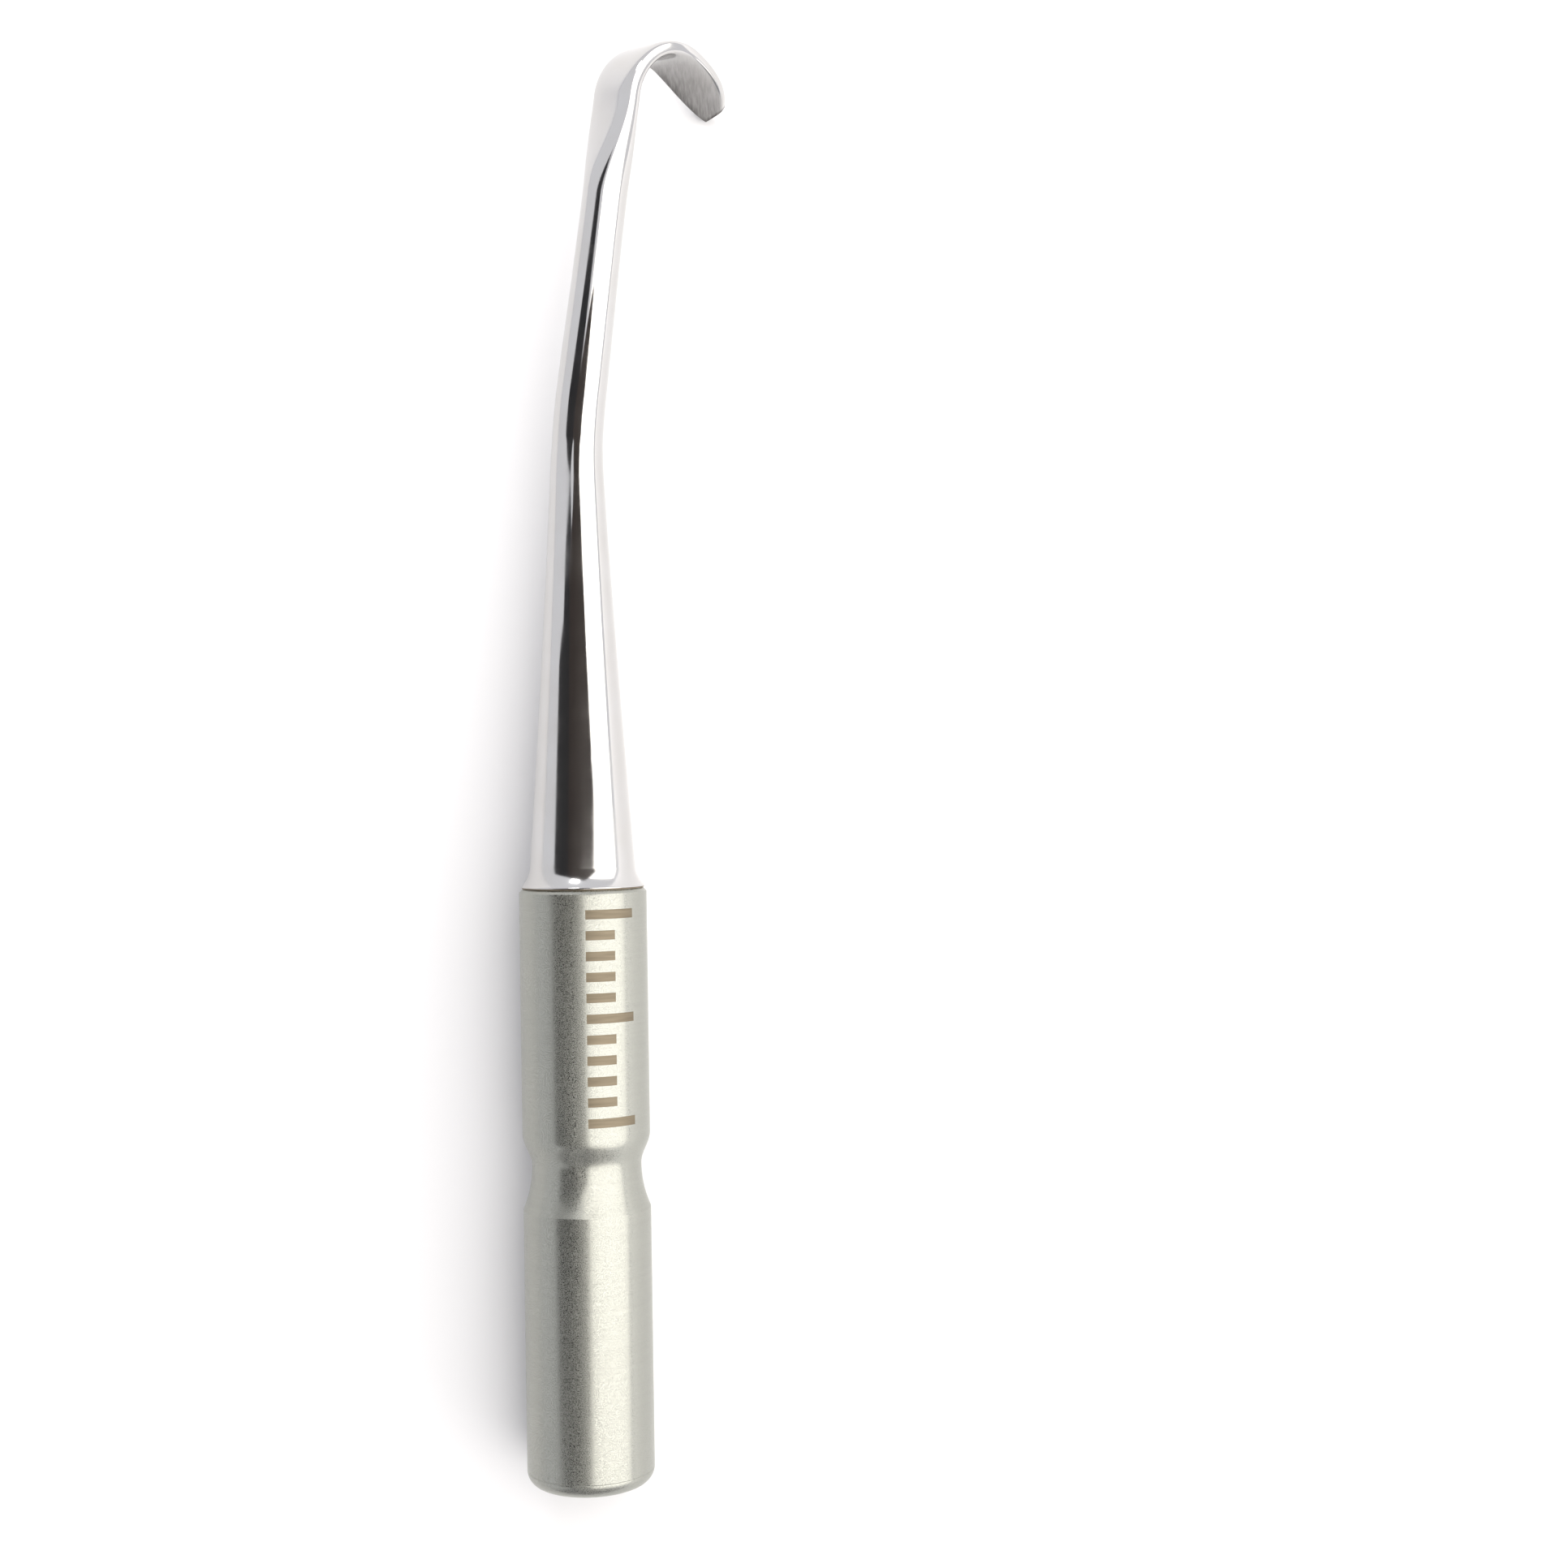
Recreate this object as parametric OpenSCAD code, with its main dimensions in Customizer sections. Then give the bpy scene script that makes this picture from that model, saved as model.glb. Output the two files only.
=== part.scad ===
// Dental elevator with a hooked blade: one forged working end set in a hollow turned handle.
// Units are millimetres. The handle's axis is the Y axis and the centre of its butt is the origin.
// +Y runs towards the blade and +Z is up as the instrument lies on a table, at z = -handle_radius.

/* [Handle] */
// Length of the handle from the butt to the front face
handle_length = 58.4; // [50:0.1:70]
// Radius of both barrels
handle_radius = 6.25; // [5:0.05:8]
// Length of the barrel in front of the waist groove
front_barrel_length = 24; // [18:0.5:30]
// Length of the waist groove
groove_length = 7.4; // [5:0.1:10]
// Depth of the waist groove at its lowest point
groove_depth = 0.9; // [0.5:0.01:1.4]
// Share of the groove's length that lies in front of its lowest point
groove_front_share = 0.42; // [0.3:0.01:0.6]
// Radius of the rounded corner at the butt
butt_corner_radius = 1.5; // [0.5:0.1:3]
// Chamfer round the front face of the barrel
face_chamfer = 0.35; // [0.1:0.05:1]
// Radius of the bore through the barrel
bore_radius = 4; // [3:0.1:4.8]
// Length of the butt plug inside the bore
plug_spigot_length = 8; // [4:0.5:12]

/* [Joint] */
// Radius of the tang inside the handle
tang_radius = 2.4; // [2:0.1:3]
// Length of the tang behind the front face
tang_length = 37; // [25:1:45]
// Length of the front bush
front_bush_length = 12; // [8:1:16]
// Length of the rear bush
rear_bush_length = 10; // [6:1:14]
// Distance of the tang's end behind the rear bush
tang_overhang = 1; // [0.5:0.5:3]
// Radius of the lock pin across the rear bush
lock_pin_radius = 0.8; // [0.5:0.1:1.2]
// Thickness of the braze ring between foot and barrel
braze_thickness = 0.15; // [0.1:0.05:0.4]
// Outer radius of the braze ring
braze_radius = 5.85; // [5:0.05:6.2]

/* [Shank] */
// Outer radius of the foot
foot_radius = 6.1; // [5.5:0.05:6.2]
// Height of the flare at the foot
foot_flare_height = 1.9; // [1:0.1:3]
// Radius that the taper has at the handle's front face
shank_base_radius = 5.33; // [4.5:0.01:5.8]
// Radius of the shank where its taper ends
shank_neck_radius = 2.51; // [2:0.01:3.2]
// Radius of the shank where the blade begins
shank_end_radius = 2.18; // [1.8:0.01:2.6]
// Length of the taper from the handle's front face
taper_length = 44; // [35:0.5:50]
// Curve of the taper: 1 is a straight cone and more is slightly hollow
taper_power = 1.15; // [1:0.05:1.6]
// Length of the straight shank in front of the handle
straight_length = 40; // [30:0.5:45]
// Radius of the bend in the shank
bend_radius = 45; // [20:1:80]
// Sideways angle of the shank after the bend
side_bend = 8.4; // [0:0.1:15]
// Upward angle of the shank after the bend
lift_bend = 7.3; // [0:0.1:15]
// Length of the straight shank between the bend and the hook
upper_length = 28.5; // [20:0.1:40]

/* [Blade] */
// Roll of the hook below the horizontal
hook_roll = 45.5; // [0:0.5:60]
// Centre-line radius round the crown of the hook
crown_radius = 5.15; // [4:0.05:8]
// Angle turned round the crown
crown_turn = 113; // [90:1:130]
// Centre-line radius of the hook towards its tip
tip_arc_radius = 20.4; // [10:0.1:40]
// Angle turned from the start of the hook to its tip
hook_turn = 132.5; // [115:0.1:160]
// Width of the blade at the start of the hook
blade_width = 5.7; // [4.5:0.1:7]
// Width of the blade at the tip
tip_width = 2.5; // [2:0.1:4]
// Power of the blade's narrowing: more keeps it wide for longer
narrowing_power = 8.5; // [1:0.1:10]
// Thickness of the blade at the start of the hook
blade_thickness = 1.7; // [1.2:0.05:2.5]
// Thickness of the blade at the tip
tip_thickness = 1.2; // [0.8:0.05:2]
// Squareness of the blade's section: 2 is an ellipse
blade_squareness = 4.4; // [2:0.1:8]
// Length over which the round shank flattens into the blade
flatten_length = 9.3; // [2:0.1:16]
// Twist of the blade round the hook
blade_twist = 16; // [0:0.1:30]
// Slant of the cut at the tip
tip_slant = 0.28; // [0:0.01:0.6]

/* [Smoothness] */
// Cross sections along the bent shank
shank_steps = 12; // [6:1:30]
// Cross sections along the hook
hook_steps = 46; // [20:1:60]
// Points round each cross section
section_points = 32; // [16:4:48]

/* [Hidden] */
$fn = 96;
groove_end = handle_length - front_barrel_length;
groove_start = groove_end - groove_length;
groove_low = groove_end - groove_length * groove_front_share;
foot_base = handle_length + braze_thickness;
sweep_cover = 0.02;
rear_bush_start = handle_length - tang_length + tang_overhang;
lock_pin_position = rear_bush_start + rear_bush_length / 2;
// Directions of the shank after its bend: forward, and the side it bends towards
forward_raw = [tan(side_bend), 1, tan(lift_bend)];
forward = forward_raw / norm(forward_raw);
bend_angle = acos(forward[1]);
bend_side = [forward[0], 0, forward[2]] / norm([forward[0], 0, forward[2]]);
// Direction that the hook opens towards, square to the forward direction
hook_raw = [cos(hook_roll), 0, -sin(hook_roll)];
hook_square = hook_raw - forward * (hook_raw * forward);
hook_side = hook_square / norm(hook_square);
// Distances along the centre line, measured from the handle's front face
bend_length = bend_radius * bend_angle * PI / 180;
hook_start = straight_length + bend_length + upper_length;
crown_length = crown_radius * crown_turn * PI / 180;
hook_length = crown_length + tip_arc_radius * (hook_turn - crown_turn) * PI / 180;
centre_length = hook_start + hook_length;
bend_end = bend_point(bend_angle);
hook_base = bend_end + forward * upper_length;

// Blend that starts and ends level, from 0 to 1
function ease(x) = let (t = min(max(x, 0), 1)) t * t * (3 - 2 * t);

// Share of the hook passed at distance s, from 0 to 1
function hook_share(s) = min(max((s - hook_start) / hook_length, 0), 1);

// Angle turned round the hook at distance s
function hook_angle(s) =
    let (past = s - hook_start)
    past <= 0 ? 0
    : past <= crown_length ? past / crown_radius * 180 / PI
    : crown_turn + (past - crown_length) / tip_arc_radius * 180 / PI;

// Point of the bend's arc at an angle from its start
function bend_point(a) =
    [0, handle_length + straight_length + bend_radius * sin(a), 0]
    + bend_side * bend_radius * (1 - cos(a));

// Point of an arc in the hook's plane, from angle a to angle b
function hook_arc(radius, a, b) =
    radius * ((sin(b) - sin(a)) * forward + (cos(a) - cos(b)) * hook_side);

// Point of the centre line at distance s
function centre_point(s) =
    s <= straight_length ? [0, handle_length + s, 0]
    : s <= straight_length + bend_length ? bend_point(bend_angle * (s - straight_length) / bend_length)
    : s <= hook_start ? bend_end + forward * (s - straight_length - bend_length)
    : hook_base + hook_arc(crown_radius, 0, min(hook_angle(s), crown_turn))
        + hook_arc(tip_arc_radius, crown_turn, max(hook_angle(s), crown_turn));

// Direction of the centre line at distance s
function centre_direction(s) =
    let (a = bend_angle * min(max((s - straight_length) / bend_length, 0), 1), h = hook_angle(s))
    s <= hook_start ? cos(a) * [0, 1, 0] + sin(a) * bend_side
    : cos(h) * forward + sin(h) * hook_side;

// Outward direction in the hook's plane at distance s, square to the centre line
function outward_direction(s) =
    let (t = centre_direction(s), h = hook_angle(s), side = hook_side - t * (hook_side * t))
    s <= hook_start ? -side / norm(side) : sin(h) * forward - cos(h) * hook_side;

// Radius of the round shank at distance s
function shank_radius(s) =
    s <= taper_length
    ? shank_neck_radius + (shank_base_radius - shank_neck_radius) * pow(1 - s / taper_length, taper_power)
    : shank_neck_radius + (shank_end_radius - shank_neck_radius)
        * ease((s - taper_length) / (hook_start - flatten_length - taper_length));

// Share of the change from round shank to flat blade at distance s
function flatness(s) = ease((s - hook_start + flatten_length) / flatten_length);

// Half of the section's width and thickness at distance s
function half_width(s) =
    let (
        r = shank_radius(s),
        w = blade_width + (tip_width - blade_width) * pow(hook_share(s), narrowing_power)
    )
    r + (w / 2 - r) * flatness(s);
function half_thickness(s) =
    let (r = shank_radius(s), t = blade_thickness + (tip_thickness - blade_thickness) * hook_share(s))
    r + (t / 2 - r) * flatness(s);

// Number raised to a power with its sign kept
function signed_power(x, p) = sign(x) * pow(abs(x), p);

// Closed ring of points round the section at distance s
function section_ring(s) =
    let (
        t = centre_direction(s),
        out = outward_direction(s),
        wide = cross(t, out),
        turn = blade_twist * ease(hook_share(s) * 1.2),
        out_turned = out * cos(turn) - wide * sin(turn),
        wide_turned = wide * cos(turn) + out * sin(turn),
        power = 2 / (2 + (blade_squareness - 2) * flatness(s)),
        slant = tip_slant * pow(hook_share(s), 8)
    )
    [for (i = [0 : section_points - 1])
        let (
            a = 360 * i / section_points,
            w = half_width(s) * signed_power(cos(a), power),
            h = half_thickness(s) * signed_power(sin(a), power)
        )
        centre_point(s) + wide_turned * w + out_turned * h - t * w * slant];

// Lathe-turned solid along the handle's axis from points of [radius, distance along the axis]
module turned(points) {
    rotate([-90, 0, 0])
        rotate_extrude()
            polygon(points);
}

// Closed solid through the sections of the bent shank and the hook
module swept_blade() {
    flatten_start = hook_start - flatten_length;
    round_length = flatten_start - straight_length;
    flat_length = centre_length - flatten_start;
    stations = concat(
        [straight_length - 0.5],
        [for (i = [0 : shank_steps]) straight_length + round_length * i / shank_steps],
        [for (i = [1 : hook_steps]) flatten_start + flat_length * i / hook_steps]
    );
    rings = len(stations);
    points = [for (s = stations) each section_ring(s)];
    walls = [for (r = [0 : rings - 2], i = [0 : section_points - 1])
        let (j = (i + 1) % section_points, a = r * section_points, b = a + section_points)
        each [[a + i, b + j, b + i], [a + i, a + j, b + j]]];
    first_end = [[for (i = [0 : section_points - 1]) section_points - 1 - i]];
    last_end = [[for (i = [0 : section_points - 1]) (rings - 1) * section_points + i]];
    polyhedron(points, concat(first_end, walls, last_end), convexity = 6);
}

// Tang, flared foot, and the straight tapered part of the shank
module turned_shank() {
    flare_end = braze_thickness + foot_flare_height;
    flare_points = [for (i = [0 : 8])
        let (
            s = braze_thickness + foot_flare_height * i / 8,
            flare = (foot_radius - shank_base_radius) * pow(1 - i / 8, 2)
        )
        [shank_radius(s) + flare, handle_length + s]];
    taper_points = [for (i = [1 : 10])
        let (s = flare_end + (straight_length - flare_end) * i / 10)
        [shank_radius(s) + sweep_cover, handle_length + s]];
    turned(concat(
        [[0, handle_length - tang_length], [tang_radius, handle_length - tang_length]],
        [[tang_radius, foot_base]],
        flare_points,
        taper_points,
        [[0, handle_length + straight_length]]
    ));
}

// Cylinder across the handle for the lock pin
module cross_pin(radius) {
    translate([0, lock_pin_position, 0])
        rotate([0, 90, 0])
            cylinder(h = 2 * bore_radius - 0.4, r = radius, center = true);
}

// Hollow sleeve round the tang
module bush(start, length) {
    turned([
        [tang_radius, start],
        [bore_radius, start],
        [bore_radius, start + length],
        [tang_radius, start + length]
    ]);
}

module working_end() {
    color([0.76, 0.76, 0.77])
        union() {
            difference() {
                turned_shank();
                cross_pin(lock_pin_radius);
            }
            swept_blade();
        }
}

module handle_barrel() {
    front_length = groove_end - groove_low;
    rear_length = groove_low - groove_start;
    rear_radius = (rear_length * rear_length + groove_depth * groove_depth) / (2 * groove_depth);
    low_radius = handle_radius - groove_depth;
    rear_arc = [for (i = [0 : 8]) let (x = rear_length * (1 - i / 8))
        [low_radius + rear_radius - sqrt(rear_radius * rear_radius - x * x), groove_low - x]];
    // S-shaped slope up to the soft front shoulder
    front_slope = [for (i = [1 : 10])
        [low_radius + groove_depth * (1 - cos(18 * i)) / 2, groove_low + front_length * i / 10]];
    color([0.66, 0.66, 0.64])
        turned(concat(
            [[bore_radius, butt_corner_radius], [handle_radius, butt_corner_radius]],
            rear_arc,
            front_slope,
            [[handle_radius, handle_length - face_chamfer], [handle_radius - face_chamfer, handle_length]],
            [[bore_radius, handle_length]]
        ));
}

module braze_ring() {
    color([0.28, 0.25, 0.21])
        turned([
            [tang_radius, handle_length],
            [braze_radius, handle_length],
            [braze_radius, foot_base],
            [tang_radius, foot_base]
        ]);
}

module front_bush() {
    color([0.6, 0.6, 0.58])
        bush(handle_length - front_bush_length, front_bush_length);
}

module rear_bush() {
    color([0.6, 0.6, 0.58])
        difference() {
            bush(rear_bush_start, rear_bush_length);
            cross_pin(lock_pin_radius);
        }
}

module lock_pin() {
    color([0.7, 0.7, 0.7])
        cross_pin(lock_pin_radius);
}

module butt_plug() {
    corner_points = [for (a = [0 : 10 : 90])
        [
            handle_radius - butt_corner_radius + butt_corner_radius * sin(a),
            butt_corner_radius - butt_corner_radius * cos(a)
        ]];
    color([0.66, 0.66, 0.64])
        turned(concat(
            [[0, 0]],
            corner_points,
            [[bore_radius, butt_corner_radius], [bore_radius, butt_corner_radius + plug_spigot_length]],
            [[0, butt_corner_radius + plug_spigot_length]]
        ));
}

working_end();
handle_barrel();
braze_ring();
front_bush();
rear_bush();
lock_pin();
butt_plug();
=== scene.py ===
"""Dental elevator on a pale table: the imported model's frame, its finished surfaces and its stage.

The scene is in metres, and the settings of the pieces are in millimetres. The handle's axis is the Y
axis, its butt is at the origin, and +Z is up.
"""
import math

import bmesh
import bpy
from bpy.props import FloatProperty, FloatVectorProperty, IntProperty, PointerProperty, StringProperty
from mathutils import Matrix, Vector, noise


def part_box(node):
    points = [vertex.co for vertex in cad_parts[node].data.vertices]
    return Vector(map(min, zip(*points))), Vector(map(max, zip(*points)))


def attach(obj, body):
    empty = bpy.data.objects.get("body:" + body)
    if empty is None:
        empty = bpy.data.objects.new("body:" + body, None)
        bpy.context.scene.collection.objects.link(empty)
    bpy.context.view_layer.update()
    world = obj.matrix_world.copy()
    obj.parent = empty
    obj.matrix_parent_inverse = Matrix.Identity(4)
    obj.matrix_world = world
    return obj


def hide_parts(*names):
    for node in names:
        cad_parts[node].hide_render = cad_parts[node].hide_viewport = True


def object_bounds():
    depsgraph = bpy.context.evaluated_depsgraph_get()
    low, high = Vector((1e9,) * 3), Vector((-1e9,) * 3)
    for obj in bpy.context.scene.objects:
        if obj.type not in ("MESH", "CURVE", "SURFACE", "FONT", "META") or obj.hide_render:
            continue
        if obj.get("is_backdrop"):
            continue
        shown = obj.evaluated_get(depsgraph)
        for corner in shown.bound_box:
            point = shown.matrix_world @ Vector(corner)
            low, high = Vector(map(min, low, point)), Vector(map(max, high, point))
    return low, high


bl_info = {
    "name": "Dental elevator",
    "version": (1, 0, 0),
    "blender": (4, 5, 0),
    "location": "3D View > Sidebar > Elevator",
    "description": "Builds a dental elevator with its polished working end, satin handle and studio",
    "category": "Object",
}

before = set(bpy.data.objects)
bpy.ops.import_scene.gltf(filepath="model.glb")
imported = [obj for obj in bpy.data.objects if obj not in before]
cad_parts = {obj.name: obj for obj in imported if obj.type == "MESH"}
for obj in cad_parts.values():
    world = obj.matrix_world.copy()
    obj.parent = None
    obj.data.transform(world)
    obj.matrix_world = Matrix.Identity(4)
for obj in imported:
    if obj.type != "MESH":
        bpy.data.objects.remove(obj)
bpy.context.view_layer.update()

MM = 0.001
# metres within which two points are one
WELD_DISTANCE = 1e-7

# steps along each curved part of an outline
FLARE_STEPS = 16
GROOVE_STEPS = 24
CORNER_STEPS = 16
BRAZE_STEPS = 14
MARK_STEPS = 20

# lengths below are in millimetres and angles in degrees; rates, powers and shares are plain numbers
TANG_CHAMFER = 0.2
TANG_END_HOLE = 0.05
# the foot's upright rim, its inset, and the gap to the first ring of the shank
FOOT_RIM = 0.04
FOOT_INSET = 0.05
SHANK_GAP = 0.05
# how fast the blade twists, and how late the slant of its cut begins
TWIST_RATE = 1.2
SLANT_POWER = 8
# where the inner face's painted shade and dullness begin past the hook's start, the share of the hook over
# which they grow, and how near the tip a section is painted dark and dull all round
SHADE_AND_DULL_START = 2.5
SHADE_AND_DULL_SHARE = 0.6
TIP_REACH = 0.01

# broken rear edge of the barrel, inwards and along
REAR_EDGE_IN = 0.02
REAR_EDGE_ALONG = 0.03
# rings beside the groove and the front chamfer, which keep the plain barrels evenly shaded
BEHIND_GROOVE = (0.5, 0.12)
AHEAD_OF_GROOVE = (0.2, 0.6)
BEHIND_CHAMFER = 0.25
PLUG_CHAMFER = 0.3
PLUG_END_HOLE = 0.02
PLUG_EDGE_ROUND = 0.03

# how deep the braze line starts in the joint, how far it bulges, and how much its beads vary that
BRAZE_SINK = 0.05
BRAZE_BULGE = 0.2
BRAZE_BEAD = 0.09

# film of the marks above the barrel, and the angles between which they run
MARK_FILM = 0.004
MARK_BEGIN = 7.0
SHORT_MARK_END = 34.0
LONG_MARK_END = 54.0
LONG_MARK_EVERY = 5


# ---------------------------------------------------------------- colours and node helpers

def linear(hex_colour):
    """Turns an sRGB hex colour such as '#c8c8c4' into linear RGBA."""
    text = hex_colour.lstrip("#")
    channels = [int(text[i:i + 2], 16) / 255 for i in (0, 2, 4)]
    return tuple(c / 12.92 if c <= 0.04045 else ((c + 0.055) / 1.055) ** 2.4 for c in channels) + (1.0,)


def add_node(material, kind, inputs=None, links=None, **settings):
    """Adds a node, sets its settings and input values, and links its inputs from output sockets."""
    node = material.node_tree.nodes.new(kind)
    for name, value in settings.items():
        setattr(node, name, value)
    for name, value in (inputs or {}).items():
        node.inputs[name].default_value = value
    for name, socket in (links or {}).items():
        material.node_tree.links.new(socket, node.inputs[name])
    return node


def new_material(name):
    """Makes an empty node material and returns it with its output node."""
    material = bpy.data.materials.new(name)
    material.use_nodes = True
    material.node_tree.nodes.clear()
    return material, add_node(material, "ShaderNodeOutputMaterial")


def finish_material(material, output, shader):
    """Links a shader to the material's output."""
    material.node_tree.links.new(shader.outputs["BSDF"], output.inputs["Surface"])
    return material


# ---------------------------------------------------------------- materials

def polished_stainless(settings):
    """Forged 420 stainless steel, buffed on a mop to a mirror.

    The eye sees sharp reflections, slightly softened near the foot by fine lines left from turning,
    with a few hairline scratches and faint smears that change the gloss.
    """
    material, output = new_material("polished_stainless")
    place = add_node(material, "ShaderNodeTexCoord").outputs["Object"]
    # turning lines 0.3 mm apart along the shank, drawn coarser than the real 0.1 mm so that they show
    stretched = add_node(material, "ShaderNodeMapping", {"Scale": (150, 3300, 150)}, {"Vector": place})
    lines = add_node(material, "ShaderNodeTexNoise", {"Scale": 1.0, "Detail": 3.0, "Roughness": 0.6},
                     {"Vector": stretched.outputs["Vector"]})
    # smears from buffing, about 4 mm across
    smears = add_node(material, "ShaderNodeTexNoise", {"Scale": 260.0, "Detail": 4.0, "Roughness": 0.55},
                      {"Vector": place})
    # hairline scratches about 0.2 mm wide and a few millimetres long
    slanted = add_node(material, "ShaderNodeMapping",
                       {"Rotation": (0.2, 0.3, 0.45), "Scale": (5200, 260, 900)}, {"Vector": place})
    scratches = add_node(material, "ShaderNodeTexNoise", {"Scale": 1.0, "Detail": 2.0},
                         {"Vector": slanted.outputs["Vector"]})
    scratch_mask = add_node(material, "ShaderNodeMapRange",
                            {"From Min": 0.70, "From Max": 0.78, "To Min": 0.0, "To Max": 1.0},
                            {"Value": scratches.outputs["Fac"]})
    # the turned lines fade over the first 22 mm of the shank
    split = add_node(material, "ShaderNodeSeparateXYZ", links={"Vector": place})
    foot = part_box("handle_barrel")[1][1]
    near_foot = add_node(material, "ShaderNodeMapRange",
                         {"From Min": foot, "From Max": foot + 0.022, "To Min": 1.0, "To Max": 0.12},
                         {"Value": split.outputs["Y"]})
    line_height = add_node(material, "ShaderNodeMath", operation="MULTIPLY",
                           links={0: lines.outputs["Fac"], 1: near_foot.outputs["Result"]})
    height = add_node(material, "ShaderNodeMath", {1: -0.5}, operation="MULTIPLY_ADD",
                      links={0: scratch_mask.outputs["Result"], 2: line_height.outputs["Value"]})
    bump = add_node(material, "ShaderNodeBump", {"Strength": 0.22, "Distance": 0.000012},
                    {"Height": height.outputs["Value"]})
    roughness = add_node(material, "ShaderNodeMapRange",
                         {"From Min": 0.35, "From Max": 0.75, "To Min": settings.polish_roughness,
                          "To Max": settings.polish_roughness + 0.07},
                         {"Value": smears.outputs["Fac"]})
    foot_roughness = add_node(material, "ShaderNodeMath", {1: 0.09}, operation="MULTIPLY_ADD",
                              links={0: near_foot.outputs["Result"], 2: roughness.outputs["Result"]})
    tint = add_node(material, "ShaderNodeMix", data_type="RGBA", links={"Factor": smears.outputs["Fac"]})
    tint.inputs["A"].default_value = linear("#cccccd")
    tint.inputs["B"].default_value = linear("#c3c1be")
    # the inner face of the hook gets painted shade, a dark brown standing for the shaded table it reflects,
    # most at its far edge and towards the tip, and it is rougher there too
    inner = add_node(material, "ShaderNodeAttribute", attribute_name="shade").outputs["Fac"]
    patchy = add_node(material, "ShaderNodeMapRange",
                      {"From Min": 0.3, "From Max": 0.7, "To Min": 0.75, "To Max": 1.0},
                      {"Value": scratches.outputs["Fac"]})
    painted_shade_and_dullness = add_node(material, "ShaderNodeMath", operation="MULTIPLY", use_clamp=True,
                            links={0: inner, 1: patchy.outputs["Result"]})
    colour = add_node(material, "ShaderNodeMix", data_type="RGBA",
                      links={"Factor": painted_shade_and_dullness.outputs["Value"]})
    material.node_tree.links.new(tint.outputs["Result"], colour.inputs["A"])
    # dark brown of the painted reflection on the hook's inner face
    colour.inputs["B"].default_value = linear("#28231f")
    all_roughness = add_node(material, "ShaderNodeMath", {1: 0.22}, operation="MULTIPLY_ADD",
                             links={0: painted_shade_and_dullness.outputs["Value"], 2: foot_roughness.outputs["Value"]})
    shader = add_node(material, "ShaderNodeBsdfPrincipled", {"Metallic": 1.0},
                      {"Base Color": colour.outputs["Result"], "Roughness": all_roughness.outputs["Value"],
                       "Normal": bump.outputs["Normal"]})
    return finish_material(material, output, shader)


def satin_stainless(settings):
    """Bar stainless steel, turned on a lathe and rubbed round with fine abrasive cloth.

    The eye sees reflections with a clear edge but little contrast, because worn spots shine between
    dull grain, and fine rings round the handle.
    """
    material, output = new_material("satin_stainless")
    place = add_node(material, "ShaderNodeTexCoord").outputs["Object"]
    # rings from the abrasive cloth, drawn 0.25 mm apart so that they show
    ring_space = add_node(material, "ShaderNodeMapping", {"Scale": (70, 4000, 70)}, {"Vector": place})
    rings = add_node(material, "ShaderNodeTexNoise", {"Scale": 1.0, "Detail": 4.0, "Roughness": 0.7},
                     {"Vector": ring_space.outputs["Vector"]})
    # grain between the rings, about 0.06 mm
    grain = add_node(material, "ShaderNodeTexNoise", {"Scale": 16000.0, "Detail": 2.0}, {"Vector": place})
    ring_and_grain = add_node(material, "ShaderNodeMath", {1: 0.45}, operation="MULTIPLY_ADD",
                              links={0: grain.outputs["Fac"], 2: rings.outputs["Fac"]})
    bump = add_node(material, "ShaderNodeBump", {"Strength": 0.2, "Distance": 0.00002},
                    {"Height": ring_and_grain.outputs["Value"]})
    roughness = add_node(material, "ShaderNodeMapRange",
                         {"From Min": 0.435, "From Max": 0.57, "To Min": settings.satin_roughness,
                          "To Max": settings.satin_roughness + 0.4},
                         {"Value": grain.outputs["Fac"]})
    tint = add_node(material, "ShaderNodeMix", data_type="RGBA", links={"Factor": rings.outputs["Fac"]})
    tint.inputs["A"].default_value = linear(settings.satin_dark)
    tint.inputs["B"].default_value = linear(settings.satin_light)
    shader = add_node(material, "ShaderNodeBsdfPrincipled", {"Metallic": 1.0, "Anisotropic": 0.3},
                      {"Base Color": tint.outputs["Result"], "Roughness": roughness.outputs["Result"],
                       "Normal": bump.outputs["Normal"]})
    return finish_material(material, output, shader)


def laser_annealed_stainless(settings):
    """Stainless steel darkened by a marking laser: an oxide film, duller and browner than the bare metal."""
    material, output = new_material("laser_annealed_stainless")
    place = add_node(material, "ShaderNodeTexCoord").outputs["Object"]
    # hatching of the laser's passes, 0.25 mm apart
    hatch_space = add_node(material, "ShaderNodeMapping", {"Scale": (300, 4000, 300)}, {"Vector": place})
    hatch = add_node(material, "ShaderNodeTexNoise", {"Scale": 1.0, "Detail": 3.0},
                     {"Vector": hatch_space.outputs["Vector"]})
    tint = add_node(material, "ShaderNodeMix", data_type="RGBA", links={"Factor": hatch.outputs["Fac"]})
    tint.inputs["A"].default_value = linear(settings.mark_dark)
    tint.inputs["B"].default_value = linear(settings.mark_light)
    bump = add_node(material, "ShaderNodeBump", {"Strength": 0.3, "Distance": 0.00002},
                    {"Height": hatch.outputs["Fac"]})
    shader = add_node(material, "ShaderNodeBsdfPrincipled", {"Metallic": 0.7, "Roughness": 0.48},
                      {"Base Color": tint.outputs["Result"], "Normal": bump.outputs["Normal"]})
    return finish_material(material, output, shader)


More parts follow.
